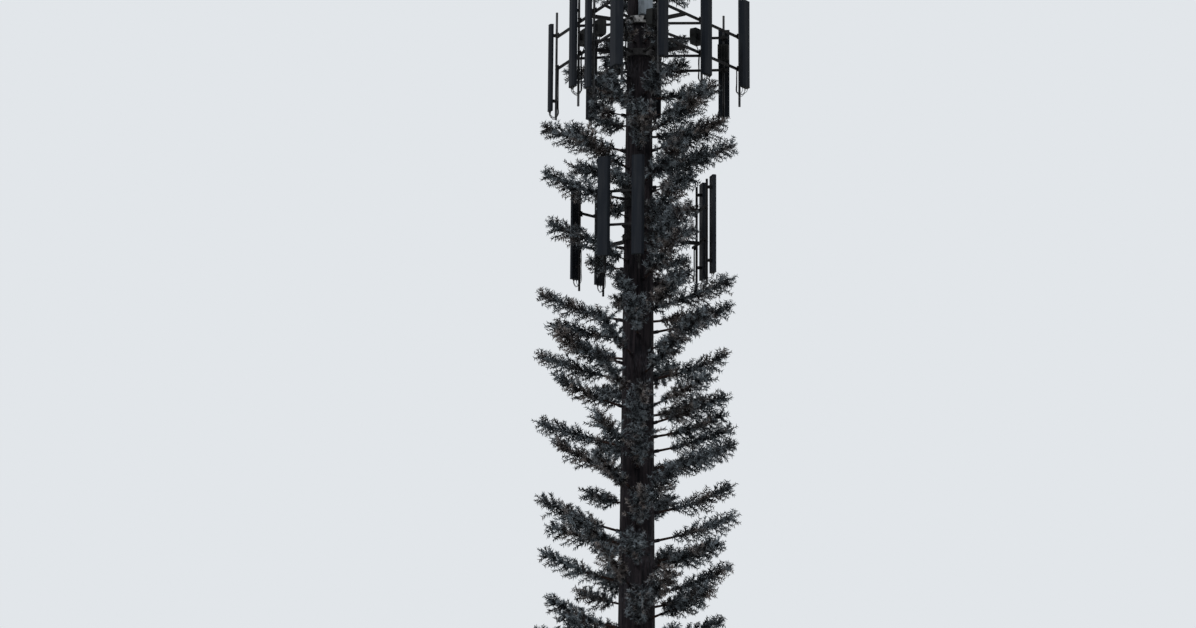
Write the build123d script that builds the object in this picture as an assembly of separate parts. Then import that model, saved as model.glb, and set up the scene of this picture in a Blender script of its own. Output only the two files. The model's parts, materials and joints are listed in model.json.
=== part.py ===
from build123d import *
import os
from math import atan, cos, degrees, hypot, pi, radians, sin

# A telecom monopole dressed as a pine tree, from its base plate to the tip of the crown.
# Millimetres. The pole stands on the origin and rises along +Z. -Y faces the viewer, +X is the viewer's right.
# Azimuths are counted from +X towards +Y, in degrees.

# Driving dimensions of the pole
FLATS = 16
FLAT_STEP = 360 / FLATS
BASE_APOTHEM = 575
TAPER = 0.0098
PLATE_THICKNESS = 57
PLATE_RADIUS = 850
ANCHOR_CIRCLE = 750
ANCHOR_COUNT = 12
ANCHOR_HOLE_RADIUS = 32
LOWER_WALL, MIDDLE_WALL, UPPER_WALL = 11, 9.5, 8
LOWER_TOP = 10400
LOWER_SLIP = 1500
MIDDLE_TOP = 19300
UPPER_SLIP = 1300

# Driving dimensions of the crown
BRANCH_BELOW_JOINT = 800
BRANCH_REACH = 2740
LONGEST_REACH = 2940
SOCKET_RADIUS = 48
SOCKET_REACH = 130
SOCKET_PITCH = 11
LIMB_RADIUS = 36
FROND_HALF_WIDTH = 480
FROND_ABOVE = 220
FROND_BELOW = 275
ROW_COUNT = 35
TIER_COUNT = 10

# Driving dimensions of the treetop above the pole
MAST_SIDE_COUNT = 8
MAST_APOTHEM = 105
MAST_TAPER = 0.03
MAST_WALL = 6
MAST_LENGTH = 1740
LEADER_LENGTH = 540

# Driving dimensions of the two antenna arrays
PIPE_RADIUS = 30
PIPE_SIDE_COUNT = 8
RAIL = 60
CLAMP_PLATE = 10
ARM = 90
BRACE = 60
TOP_ARRAY_HEIGHT = 26490
TOP_LEVEL_GAP = 920
TOP_PLANE = 1750
TOP_PANEL = 2450
TOP_PANEL_DROP = 1710
TOP_PIPE = 3050
TOP_RIGHT_LIFT = 595
POLE_ABOVE_ARRAY = 1410
LOW_ARRAY_HEIGHT = 21400
LOW_LEVEL_GAP = 900
LOW_PLANE = 1940
LOW_PANEL = 2650
LOW_PANEL_DROP = 1330
LOW_PIPE = 2900
PIPE_BELOW_PANEL = 230
LOW_PIPE_BELOW_PANEL = 350

# Heights that follow from them
MIDDLE_BOTTOM = LOWER_TOP - LOWER_SLIP
UPPER_BOTTOM = MIDDLE_TOP - UPPER_SLIP
POLE_TOP = TOP_ARRAY_HEIGHT + POLE_ABOVE_ARRAY
TOP_LEVELS = (TOP_ARRAY_HEIGHT - TOP_LEVEL_GAP / 2, TOP_ARRAY_HEIGHT + TOP_LEVEL_GAP / 2)
LOW_LEVELS = (LOW_ARRAY_HEIGHT - LOW_LEVEL_GAP / 2, LOW_ARRAY_HEIGHT + LOW_LEVEL_GAP / 2)
TOP_PANEL_BOTTOM = TOP_ARRAY_HEIGHT - TOP_PANEL_DROP
LOW_PANEL_BOTTOM = LOW_ARRAY_HEIGHT - LOW_PANEL_DROP
TOP_PIPE_BOTTOM = TOP_PANEL_BOTTOM - PIPE_BELOW_PANEL
LOW_PIPE_BOTTOM = LOW_PANEL_BOTTOM - LOW_PIPE_BELOW_PANEL
ARRAY_GAP = TOP_LEVELS[0] - LOW_LEVELS[1]
BRANCH_LOWEST = MIDDLE_BOTTOM - BRANCH_BELOW_JOINT
BRANCH_HIGHEST = TOP_LEVELS[0] - 680

os.makedirs("parts", exist_ok=True)


def write(name, solids):
    # One node: one solid, or several like solids that do not touch.
    solids = list(solids)
    body = solids[0] if len(solids) == 1 else Compound(children=solids)
    body.label = name
    export_step(body, f"parts/{name}.step")


def only(shape):
    # The single solid of a finished shape.
    return shape.solids()[0]


# The pole: three slip-jointed, tapered, sixteen-sided tubes.
# Each section's inner face continues the outer face of the section below it.
def outer_apothem(height):
    step = 0
    if height >= MIDDLE_BOTTOM:
        step = MIDDLE_WALL
    if height >= UPPER_BOTTOM:
        step = MIDDLE_WALL + UPPER_WALL
    return BASE_APOTHEM - TAPER * height + step


def tapered_prism(apothem, bottom, top, taper, flats):
    outline = RegularPolygon(apothem, flats, major_radius=False, rotation=180 / flats)
    return Pos(0, 0, bottom) * extrude(outline, top - bottom, taper=degrees(atan(taper)))


def pole_prism(offset, bottom, top):
    # The pole's outline grown by an offset measured from the lowest section's outer face.
    return tapered_prism(BASE_APOTHEM - TAPER * bottom + offset, bottom, top, TAPER, FLATS)


lower_pole = pole_prism(0, PLATE_THICKNESS, LOWER_TOP) - pole_prism(-LOWER_WALL, PLATE_THICKNESS, LOWER_TOP)
middle_pole = pole_prism(MIDDLE_WALL, MIDDLE_BOTTOM, MIDDLE_TOP) - pole_prism(0, MIDDLE_BOTTOM, MIDDLE_TOP)
upper_pole = pole_prism(MIDDLE_WALL + UPPER_WALL, UPPER_BOTTOM, POLE_TOP)
upper_pole -= pole_prism(MIDDLE_WALL, UPPER_BOTTOM, POLE_TOP)

# Anchor plate under the pole
plate_outline = RegularPolygon(PLATE_RADIUS, FLATS, major_radius=False, rotation=180 / FLATS)
base_plate = extrude(plate_outline, PLATE_THICKNESS)
base_plate -= PolarLocations(ANCHOR_CIRCLE, ANCHOR_COUNT) * extrude(Circle(ANCHOR_HOLE_RADIUS), PLATE_THICKNESS)
write("base_plate", [only(base_plate)])


# Cable ports: an upright opening with cut corners and a welded rim, as (height, azimuth, width, length).
PORTS = {
    "entry": (1250, 90, 300, 650),
    "low_array": (LOW_LEVELS[1] + 0.25 * ARRAY_GAP, 90, 150, 380),
    "top_array": (LOW_LEVELS[1] + 0.65 * ARRAY_GAP, 90, 150, 380),
}
RIM_WALL = 12
RIM_STANDS_OUT = 35
RIM_GOES_IN = 45
OPENING_GOES_IN, OPENING_GOES_OUT = 150, 100


def port_prism(port, width, length, inwards, outwards):
    height, azimuth, _, _ = PORTS[port]
    frame = Rectangle(width, length)
    outline = Plane.YZ * chamfer(frame.vertices(), 0.28 * width)
    start = outer_apothem(height) - inwards
    return Rot(0, 0, azimuth) * Pos(start, 0, height) * extrude(outline, inwards + outwards)


def port_rim(port):
    _, _, width, length = PORTS[port]
    rim = port_prism(port, width + 2 * RIM_WALL, length + 2 * RIM_WALL, RIM_GOES_IN, RIM_STANDS_OUT)
    return only(rim - port_prism(port, width, length, RIM_GOES_IN, RIM_STANDS_OUT))


def port_opening(port):
    _, _, width, length = PORTS[port]
    wide, tall = width + 2 * RIM_WALL, length + 2 * RIM_WALL
    return port_prism(port, wide, tall, OPENING_GOES_IN, OPENING_GOES_OUT)


lower_pole -= port_opening("entry")
upper_pole -= port_opening("low_array")
upper_pole -= port_opening("top_array")
write("lower_pole", [only(lower_pole)])
write("middle_pole", [only(middle_pole)])
write("upper_pole", [only(upper_pole)])
write("port_rims", [port_rim(port) for port in PORTS])

# Cap on the pole and the slim mast that carries the treetop
CAP_THICKNESS = 16
CAP_APOTHEM = outer_apothem(POLE_TOP) + 25
MAST_BOTTOM = POLE_TOP + CAP_THICKNESS
MAST_TOP = MAST_BOTTOM + MAST_LENGTH
cap_outline = RegularPolygon(CAP_APOTHEM, FLATS, major_radius=False, rotation=180 / FLATS)
pole_cap = Pos(0, 0, POLE_TOP) * extrude(cap_outline, CAP_THICKNESS)
write("pole_cap", [only(pole_cap)])


def mast_apothem(height):
    return MAST_APOTHEM - MAST_TAPER * (height - MAST_BOTTOM)


treetop_mast = tapered_prism(MAST_APOTHEM, MAST_BOTTOM, MAST_TOP, MAST_TAPER, MAST_SIDE_COUNT)
mast_bore = MAST_APOTHEM - MAST_WALL
treetop_mast -= tapered_prism(mast_bore, MAST_BOTTOM, MAST_TOP - MAST_WALL, MAST_TAPER, MAST_SIDE_COUNT)
write("treetop_mast", [only(treetop_mast)])


# Branches: a straight bare limb that opens into a frond with a ridge above, a keel below and
# swept-forward tufts that alternate from side to side.
# The skin is drawn over sections across the branch, in a frame with +X out along the socket.
TUFT_SWEEP = 0.085
NOTCH = 0.5


def skin(facets):
    faces = [Face(Wire.make_polygon(corners, close=True)) for corners in facets]
    return Solid(Shell(faces))


def section(x, z, above, below, right, left, droop=0.0, sweep_right=0.0, sweep_left=0.0):
    # Corners of a section, in turn: ridge, right edge, keel, left edge.
    return [
        (x, 0, z + above),
        (x + sweep_right, -right, z - droop),
        (x, 0, z - below),
        (x + sweep_left, left, z - droop),
    ]


def frond_fullness(share):
    # From the first needles (0) to the tip (1), widest a little before the middle.
    return sin(pi * (0.12 + 0.84 * share)) ** 0.7


def make_branch(length, bend, bare_share, tufts, size=1.0):
    def spine(x):
        return bend * x * x / length

    bare = bare_share * length
    limb = LIMB_RADIUS * size
    sections = [section(0, 0, limb, limb, limb, limb)]
    sections.append(section(bare, spine(bare), *[0.75 * limb] * 4))
    for index in range(tufts):
        share = (index + 0.35) / tufts
        x = bare + share * (length - bare)
        full = frond_fullness(share) * size
        wide, narrow = FROND_HALF_WIDTH * full, NOTCH * FROND_HALF_WIDTH * full
        tall = 1.0 if index % 2 else 0.75
        sweep = TUFT_SWEEP * length
        above, below = FROND_ABOVE * full * tall, FROND_BELOW * full * tall
        if index % 2:
            sections.append(section(x, spine(x), above, below, narrow, wide, 0.3 * below, 0, sweep))
        else:
            sections.append(section(x, spine(x), above, below, wide, narrow, 0.3 * below, sweep, 0))
    tip = (length, 0, spine(length))

    facets = [sections[0]]
    for inner, outer in zip(sections, sections[1:]):
        for corner in range(4):
            after = (corner + 1) % 4
            facets.append([inner[corner], inner[after], outer[after]])
            facets.append([inner[corner], outer[after], outer[corner]])
    for corner in range(4):
        facets.append([sections[-1][corner], sections[-1][(corner + 1) % 4], tip])
    return skin(facets)


# Where a branch leaves a flat of the pole or the mast: +X along the socket, standing on the flat.
def seat(azimuth, apothem, height, taper, yaw, pitch):
    lean = degrees(atan(taper))
    flat = Rot(0, 0, azimuth) * Pos(apothem, 0, height) * Rot(0, -lean, 0)
    return flat, flat * Rot(0, 0, yaw) * Rot(0, lean - pitch, 0)


def make_socket(flat, along, radius, reach):
    # A six-sided stub cut off where it meets the flat.
    sunk = 1.25 * radius
    stub = along * Pos(-sunk, 0, 0) * extrude(Plane.YZ * RegularPolygon(radius, 6, rotation=30), reach + sunk)
    inside = flat * Box(2 * sunk, 8 * radius, 8 * radius, align=(Align.MAX, Align.CENTER, Align.CENTER))
    return only(stub - inside)


# The antenna arrays: for every sector a frame with +X out along its facing, and +Y to its own left.
class Sector:
    def __init__(self, name, facing, plane, levels, stations, bottom, length, lift=0):
        self.name = name
        self.facing = facing
        self.plane = plane
        self.levels = levels
        self.stations = stations
        self.bottom = bottom + lift
        self.length = length
        self.lift = lift
        self.pipe_plane = plane - 180
        self.rail_face = self.pipe_plane - PIPE_RADIUS - CLAMP_PLATE
        self.rail_plane = self.rail_face - RAIL / 2

    def place(self, shape):
        return only(Rot(0, 0, self.facing) * shape)


# A station is (offset along the face, antenna width, antenna depth, lift above its neighbours, has a radio).
TOP_SECTORS = [
    Sector("left", 205, TOP_PLANE, TOP_LEVELS,
           [(-2000, 190, 95, 0, False), (-500, 300, 140, 290, True),
            (500, 260, 120, 0, True), (2290, 500, 200, 110, False)],
           TOP_PANEL_BOTTOM, TOP_PANEL),
    Sector("right", 325, TOP_PLANE, TOP_LEVELS,
           [(-1385, 300, 140, 0, True), (670, 330, 160, 0, True), (2525, 330, 160, 100, False)],
           TOP_PANEL_BOTTOM, TOP_PANEL, lift=TOP_RIGHT_LIFT),
    Sector("rear", 85, TOP_PLANE, TOP_LEVELS,
           [(-2180, 300, 140, 0, True), (-300, 300, 140, 0, True), (1470, 300, 140, 0, False)],
           TOP_PANEL_BOTTOM, TOP_PANEL),
]
LOW_SECTORS = [
    Sector(name, facing, LOW_PLANE, LOW_LEVELS,
           [(-460, width, depth, 0, False), (460, width, depth, 0, False)],
           LOW_PANEL_BOTTOM, LOW_PANEL)
    for name, facing, width, depth in [("front", 256, 320, 140), ("right", 16, 300, 120), ("rear", 136, 300, 120)]
]
TOP_PIPE_LIFT_SHARE = 0.67
COLLAR_APOTHEM = 430
COLLAR_HEIGHT = 180
RAIL_OVERHANG = 120
# Width along the face and height of the brackets
PANEL_BRACKET = (90, 70)
CLAMP_FACE = (130, 150)
RADIO_BRACKET = (80, 160)


def make_antenna(sector, station):
    # Radome with a flat back and slanted front corners.
    offset, width, depth, raised, _ = station
    radome = extrude(Rectangle(depth, width), sector.length)
    front_corners = radome.edges().filter_by(Axis.Z).group_by(Axis.X)[-1]
    radome = chamfer(front_corners, 0.3 * depth, 0.22 * width)
    return sector.place(Pos(sector.plane, offset, sector.bottom + raised) * radome)


def make_pipe(sector, station, bottom, length):
    outline = RegularPolygon(PIPE_RADIUS, PIPE_SIDE_COUNT, major_radius=False, rotation=180 / PIPE_SIDE_COUNT)
    start = bottom + TOP_PIPE_LIFT_SHARE * sector.lift
    return sector.place(Pos(sector.pipe_plane, station[0], start) * extrude(outline, length))


def block_between(sector, station, height, near, far, width, tall):
    # A block that reaches from one distance from the pole's axis to another.
    block = Box(far - near, width, tall, align=(Align.MIN, Align.CENTER, Align.CENTER))
    return sector.place(Pos(near, station[0], height) * block)


def make_panel_brackets(sector, station):
    near = sector.pipe_plane + PIPE_RADIUS
    far = sector.plane - station[2] / 2
    bottom = sector.bottom + station[3]
    heights = (bottom + 0.12 * sector.length, bottom + 0.88 * sector.length)
    return [block_between(sector, station, height, near, far, *PANEL_BRACKET) for height in heights]


def make_rails(sector):
    first = min(station[0] for station in sector.stations) - RAIL_OVERHANG
    last = max(station[0] for station in sector.stations) + RAIL_OVERHANG
    rails = []
    for level in sector.levels:
        rail = Pos(sector.rail_plane, (first + last) / 2, level) * Box(RAIL, last - first, RAIL)
        rails.append(sector.place(rail))
    return rails


def make_clamp_plates(sector, station):
    near, far = sector.rail_face, sector.rail_face + CLAMP_PLATE
    return [block_between(sector, station, level, near, far, *CLAMP_FACE) for level in sector.levels]


def collar_block(level):
    outline = RegularPolygon(COLLAR_APOTHEM, FLATS, major_radius=False, rotation=180 / FLATS)
    return Pos(0, 0, level - COLLAR_HEIGHT / 2) * extrude(outline, COLLAR_HEIGHT)


def make_collar(level):
    bore = pole_prism(MIDDLE_WALL + UPPER_WALL, level - COLLAR_HEIGHT, level + COLLAR_HEIGHT)
    return only(collar_block(level) - bore)


def make_arm(sector, level):
    # From the collar straight out to the rail.
    inner = sector.rail_plane - RAIL / 2
    beam = Pos(0, 0, level) * Box(inner, ARM, ARM, align=(Align.MIN, Align.CENTER, Align.CENTER))
    return only(sector.place(beam) - collar_block(level))


def make_brace(sector, level, spread):
    # From the side of the collar slantwise out to the rail.
    inner = sector.rail_plane - RAIL / 2
    start, end = (0.6 * COLLAR_APOTHEM, 0.2 * spread), (inner, spread)
    run = hypot(end[0] - start[0], end[1] - start[1])
    turn = degrees(atan((end[1] - start[1]) / (end[0] - start[0])))
    beam = Pos(start[0], start[1], level) * Rot(0, 0, turn)
    beam = beam * Box(run + 2 * BRACE, BRACE, BRACE, align=(Align.MIN, Align.CENTER, Align.CENTER))
    beyond = Box(inner, 4 * abs(spread), 4 * BRACE, align=(Align.MIN, Align.CENTER, Align.CENTER))
    beam -= Pos(inner, 0, level) * beyond
    return only(sector.place(beam) - collar_block(level))


top_pairs = [(sector, station) for sector in TOP_SECTORS for station in sector.stations]
low_pairs = [(sector, station) for sector in LOW_SECTORS for station in sector.stations]
write("top_collars", [make_collar(level) for level in TOP_LEVELS])
top_arms = [make_arm(sector, level) for sector in TOP_SECTORS for level in TOP_LEVELS]
top_braces = [make_brace(sector, level, spread)
              for sector in TOP_SECTORS for level in TOP_LEVELS for spread in (-1000, 1000)]
write("top_arms", top_arms)
write("top_braces", top_braces)
write("top_rails", [rail for sector in TOP_SECTORS for rail in make_rails(sector)])
write("top_clamp_plates", [plate for pair in top_pairs for plate in make_clamp_plates(*pair)])
write("top_pipes", [make_pipe(*pair, TOP_PIPE_BOTTOM, TOP_PIPE) for pair in top_pairs])
write("top_antenna_brackets", [piece for pair in top_pairs for piece in make_panel_brackets(*pair)])
for sector in TOP_SECTORS:
    write(f"top_{sector.name}_antennas", [make_antenna(sector, station) for station in sector.stations])

write("lower_collars", [make_collar(level) for level in LOW_LEVELS])
low_arms = [make_arm(sector, level) for sector in LOW_SECTORS for level in LOW_LEVELS]
write("lower_arms", low_arms)
write("lower_rails", [rail for sector in LOW_SECTORS for rail in make_rails(sector)])
write("lower_clamp_plates", [plate for pair in low_pairs for plate in make_clamp_plates(*pair)])
write("lower_pipes", [make_pipe(*pair, LOW_PIPE_BOTTOM, LOW_PIPE) for pair in low_pairs])
write("lower_antenna_brackets", [piece for pair in low_pairs for piece in make_panel_brackets(*pair)])
for sector in LOW_SECTORS:
    write(f"lower_{sector.name}_antennas", [make_antenna(sector, station) for station in sector.stations])

# Remote radio units hang on the inner side of some of the top pipes, between the rails.
RADIO_HEIGHT, RADIO_WIDTH, RADIO_DEPTH = 430, 300, 190
RADIO_GAP = 60
RADIO_LEVEL = TOP_ARRAY_HEIGHT


def make_radio(sector, station):
    # A finned housing: upright grooves on the face towards the pole.
    outer = sector.pipe_plane - PIPE_RADIUS - RADIO_GAP
    housing = Box(RADIO_DEPTH, RADIO_WIDTH, RADIO_HEIGHT)
    housing = Pos(outer - RADIO_DEPTH / 2, station[0], RADIO_LEVEL) * housing
    for groove in (-1, 0, 1):
        place = Pos(outer - RADIO_DEPTH, station[0] + 0.25 * RADIO_WIDTH * groove, RADIO_LEVEL)
        housing -= place * Box(0.3 * RADIO_DEPTH, 0.1 * RADIO_WIDTH, RADIO_HEIGHT)
    return sector.place(housing)


radio_pairs = [(sector, station) for sector, station in top_pairs if station[4]]
write("top_radios", [make_radio(*pair) for pair in radio_pairs])
write("radio_brackets", [
    block_between(sector, station, RADIO_LEVEL, sector.pipe_plane - PIPE_RADIUS - RADIO_GAP,
                  sector.pipe_plane - PIPE_RADIUS, *RADIO_BRACKET)
    for sector, station in radio_pairs
])

# Light-grey junction box on the front of the pole, above the upper collar
BOX_WIDTH, BOX_DEPTH, BOX_HEIGHT = 350, 180, 640
BOX_BOTTOM = TOP_LEVELS[1] + COLLAR_HEIGHT / 2 + 20
BOX_AZIMUTH = 270 + FLAT_STEP
box_seat = outer_apothem(BOX_BOTTOM)
housing = Box(BOX_DEPTH, BOX_WIDTH, BOX_HEIGHT)
housing = Pos(box_seat + BOX_DEPTH / 2, 0, BOX_BOTTOM + BOX_HEIGHT / 2) * housing
pads = [Pos(box_seat - 10, 0, BOX_BOTTOM + share * BOX_HEIGHT) * Box(40, 90, 60) for share in (0.15, 0.85)]
housing += pads
junction_box = Rot(0, 0, BOX_AZIMUTH) * housing - pole_prism(MIDDLE_WALL + UPPER_WALL, TOP_LEVELS[1], POLE_TOP)
write("junction_box", [only(junction_box)])


# The crown. The branches that show against the sky have their tips where the photo has them,
# as (height, reach from the pole's axis); the two lowest of each side lie below its edge.
LEFT_TIPS = (
    (9950, 2650), (10250, 2300), (10600, 2810), (11200, 2460), (11550, 1550), (12600, 2680), (13350, 2480),
    (13800, 2670), (14200, 1500), (15350, 2350), (16000, 2830), (17000, 2340), (17850, 2820), (18200, 2430),
    (18800, 2490), (19500, 2790), (20650, 2110), (21450, 2580), (21850, 1970), (22750, 2720), (24050, 2710),
)
RIGHT_TIPS = (
    (10050, 2300), (10400, 2700), (10900, 2450), (11250, 2000), (12250, 2610), (12650, 2370), (12900, 2160),
    (13550, 2770), (14400, 2720), (15100, 2300), (15550, 2850), (15850, 2690), (16350, 2460), (16750, 1980),
    (17850, 2560), (18500, 2060), (19200, 2670), (19600, 2700), (23550, 2710), (23950, 2470),
)
LEFT_FLAT, FRONT_FLAT, RIGHT_FLAT, REAR_FLAT = 8, 12, 0, 4
FRONT_ORDER = (0, 2, -1, 1, -2)
REAR_ORDER = (0, -2, 1, -1, 2)
RIGHT_FILLERS = 7
RIGHT_FILLER_REACH = 1700
TOP_FILLERS = 3
BEND_CYCLE = (0.12, 0.18, 0.08, 0.15)
YAW_CYCLE = (-3, 2, 0, 3, -2, 2, -3)
BARE_CYCLE = (0.22, 0.27, 0.25)
NEIGHBOUR_GAPS = (600, 380, 180)
JOINT_CLEARANCE = 1.1 * SOCKET_REACH
COLLAR_CLEARANCE = 175
ARM_CLEARANCE = 270
UNDER_ARM = 680
PORT_CLEARANCE = 440
ANTENNA_CLEARANCE = 300


def turn_between(one, other):
    return abs((one - other + 180) % 360 - 180)


def branch_rise(length, bend):
    pitch = radians(SOCKET_PITCH)
    return (SOCKET_REACH + length) * sin(pitch) + bend * length * cos(pitch)


def clear_reach(azimuth, height):
    # How far out a branch can reach before the antennas and pipes that stand in its way.
    reach = LONGEST_REACH
    for sector, station in top_pairs + low_pairs:
        radius = hypot(sector.pipe_plane, station[0])
        towards = sector.facing + degrees(atan(station[0] / sector.pipe_plane))
        crossing = height + branch_rise(radius, 0.12)
        lowest = sector.bottom - max(PIPE_BELOW_PANEL, LOW_PIPE_BELOW_PANEL) - FROND_ABOVE
        highest = sector.bottom + sector.length + 2 * FROND_BELOW
        half_width = FROND_HALF_WIDTH + station[1] / 2
        if lowest < crossing < highest and turn_between(azimuth, towards) < degrees(half_width / radius):
            reach = min(reach, radius - ANTENNA_CLEARANCE)
    return reach


def has_room(azimuth, height):
    # No branch where a slip joint, a collar, an arm or a port takes its place.
    if min(abs(height - MIDDLE_BOTTOM), abs(height - UPPER_BOTTOM)) < JOINT_CLEARANCE:
        return False
    if height > BRANCH_HIGHEST:
        return False
    for level in LOW_LEVELS:
        if abs(height + 20 - level) < COLLAR_CLEARANCE:
            return False
        for sector in LOW_SECTORS:
            turn = turn_between(azimuth, sector.facing)
            if abs(height + 60 - level) < ARM_CLEARANCE and turn < 34:
                return False
            if -UNDER_ARM < height - level < 0 and turn < 28:
                return False
    for port_height, port_azimuth, _, _ in PORTS.values():
        if abs(height - port_height) < PORT_CLEARANCE and turn_between(azimuth, port_azimuth) < 30:
            return False
    return True


class Crown:
    # The branches placed so far, as (flat, height of the root, full reach, bend).
    def __init__(self):
        self.taken = []

    def is_free(self, flat, height):
        for other, level, _, _ in self.taken:
            apart = turn_between(flat * FLAT_STEP, other * FLAT_STEP) / FLAT_STEP
            if apart < len(NEIGHBOUR_GAPS) and abs(height - level) < NEIGHBOUR_GAPS[round(apart)]:
                return False
        return has_room(flat * FLAT_STEP, height)

    def add(self, flats, height, reach, side=None):
        # On the first free flat, moved up or down a little where none is free.
        # With a side given, the reach is measured straight out to that side.
        bend = BEND_CYCLE[len(self.taken) % len(BEND_CYCLE)]
        moves = sorted((step * 40 for step in range(-40, 41)), key=abs)
        for move in moves:
            for flat in flats:
                if self.is_free(flat, height + move):
                    if side is not None:
                        reach = reach / cos(radians(turn_between(flat * FLAT_STEP, side * FLAT_STEP)))
                    self.taken.append((flat % FLATS, height + move, min(reach, LONGEST_REACH), bend))
                    return
        print("no free seat near", round(height), "on flats", flats)

    def add_tip(self, side, height, reach):
        # A branch whose tip shows against the sky: the less it reaches, the more it turns from the side.
        turned = 2 if reach < 2100 else 1 if reach < 2550 else 0
        hand = 1 if len(self.taken) % 2 else -1
        flats = [side + hand * turned, side - hand * turned, side + hand, side - hand]
        bend = BEND_CYCLE[len(self.taken) % len(BEND_CYCLE)]
        self.add(flats, height - branch_rise(reach - BASE_APOTHEM, bend), reach, side)

    def add_row(self, middle, order, lowest, highest, count, reach=BRANCH_REACH):
        for number in range(count):
            height = lowest + (highest - lowest) * number / (count - 1)
            first = order[number % len(order)]
            flats = [middle + first, middle + first + 1, middle + first - 1]
            self.add(flats, height, reach)


crown = Crown()
for tip_height, tip_reach in LEFT_TIPS:
    crown.add_tip(LEFT_FLAT, tip_height, tip_reach)
for tip_height, tip_reach in RIGHT_TIPS:
    crown.add_tip(RIGHT_FLAT, tip_height, tip_reach)
ABOVE_LOW_ARRAY = LOW_PANEL_BOTTOM + LOW_PANEL
crown.add_row(RIGHT_FLAT, (0, 1, -1), LOW_PIPE_BOTTOM, ABOVE_LOW_ARRAY, RIGHT_FILLERS, RIGHT_FILLER_REACH)
for flat in (LEFT_FLAT, RIGHT_FLAT):
    crown.add_row(flat, (0, 1, -1), BRANCH_HIGHEST - 1000, BRANCH_HIGHEST, TOP_FILLERS)
crown.add_row(FRONT_FLAT, FRONT_ORDER, BRANCH_LOWEST, BRANCH_HIGHEST, ROW_COUNT)
crown.add_row(REAR_FLAT, REAR_ORDER, BRANCH_LOWEST, BRANCH_HIGHEST, ROW_COUNT)
crown.taken.sort(key=lambda seat: seat[1])

sockets = {"lower": [], "middle": [], "upper": [], "treetop": []}
branches = []
for number, (flat_number, height, wanted, bend) in enumerate(crown.taken):
    azimuth = flat_number * FLAT_STEP
    apothem = outer_apothem(height)
    length = min(wanted, clear_reach(azimuth, height)) - apothem - SOCKET_REACH
    size = min(1.0, 0.36 + 0.64 * length / (BRANCH_REACH - apothem - SOCKET_REACH))
    yaw = YAW_CYCLE[number % len(YAW_CYCLE)]
    flat, along = seat(azimuth, apothem, height, TAPER, yaw, SOCKET_PITCH)
    pole_section = "lower" if height < MIDDLE_BOTTOM else "middle" if height < UPPER_BOTTOM else "upper"
    sockets[pole_section].append(make_socket(flat, along, SOCKET_RADIUS, SOCKET_REACH))
    tufts = 4 if size < 0.85 else 4 + number % 2
    frond = make_branch(length, bend, BARE_CYCLE[number % len(BARE_CYCLE)], tufts, size)
    branches.append(along * Pos(SOCKET_REACH, 0, 0) * frond)

tier_size = -(-len(branches) // TIER_COUNT)
for tier in range(TIER_COUNT):
    write(f"branches_tier_{tier + 1:02d}", branches[tier * tier_size:(tier + 1) * tier_size])

# The treetop: short branches between the rails of the upper array, a whorl above it, four on the mast,
# and a leader on top
treetop = []
TOP_SOCKET_RADIUS = 40
TOP_SOCKET_REACH = 90
RING_HEIGHT = TOP_LEVELS[0] + 0.3 * TOP_LEVEL_GAP
RING_LENGTH = 0.6 * TOP_PLANE
RING_SIZE = TOP_LEVEL_GAP / 1600
WHORL_HEIGHT = POLE_TOP - 300
WHORL_LENGTH = 1150
RING_AZIMUTHS = (22.5, 135, 247.5, 292.5)
WHORL_AZIMUTHS = (0, 67.5, 112.5, 180, 247.5, 337.5)


def add_short_branch(height, azimuth, pitch, length, bare_share, size):
    flat, along = seat(azimuth, outer_apothem(height), height, TAPER, 0, pitch)
    sockets["treetop"].append(make_socket(flat, along, TOP_SOCKET_RADIUS, TOP_SOCKET_REACH))
    treetop.append(along * Pos(TOP_SOCKET_REACH, 0, 0) * make_branch(length, 0.12, bare_share, 4, size))


for azimuth in RING_AZIMUTHS:
    add_short_branch(RING_HEIGHT, azimuth, 9, RING_LENGTH, 0.2, RING_SIZE)
for azimuth in WHORL_AZIMUTHS:
    add_short_branch(WHORL_HEIGHT, azimuth, 6, WHORL_LENGTH, 0.4, 0.6)
for whorl, (share, length) in enumerate([(0.16, 1350), (0.42, 1100), (0.65, 800), (0.86, 520)]):
    height = MAST_BOTTOM + share * MAST_LENGTH
    for side in range(4):
        azimuth = 90 * side + 45 * (whorl % 2)
        _, along = seat(azimuth, mast_apothem(height), height, MAST_TAPER, 0, degrees(atan(MAST_TAPER)))
        frond = make_branch(length, 0.25, 0.15, 3, length / 2000)
        treetop.append(along * frond)
leader = make_branch(LEADER_LENGTH, 0, 0.1, 3, 0.28)
treetop.append(Pos(0, 0, MAST_TOP) * Rot(0, -90, 0) * leader)
write("treetop_branches", treetop)
for section, stubs in sockets.items():
    write(f"{section}_branch_sockets", stubs)
print("branches", len(branches), "treetop", len(treetop))
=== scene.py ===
# %% [markdown]
# # A cell tower dressed as a pine tree
# The real object is a tapered steel pole some thirty metres tall. It carries two rings of panel
# antennas, and branches of plastic needles hide it among trees. The CAD frame gives every piece its
# place. It could be painted and lit as it is, but needles, bolts and cables are too small or too many
# for solids. So this script adds them round the frame, and gives every piece its look.

# %% Frame and libraries
import json
import math

import bmesh
import bpy
import numpy as np
from mathutils import Matrix, Vector


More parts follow.
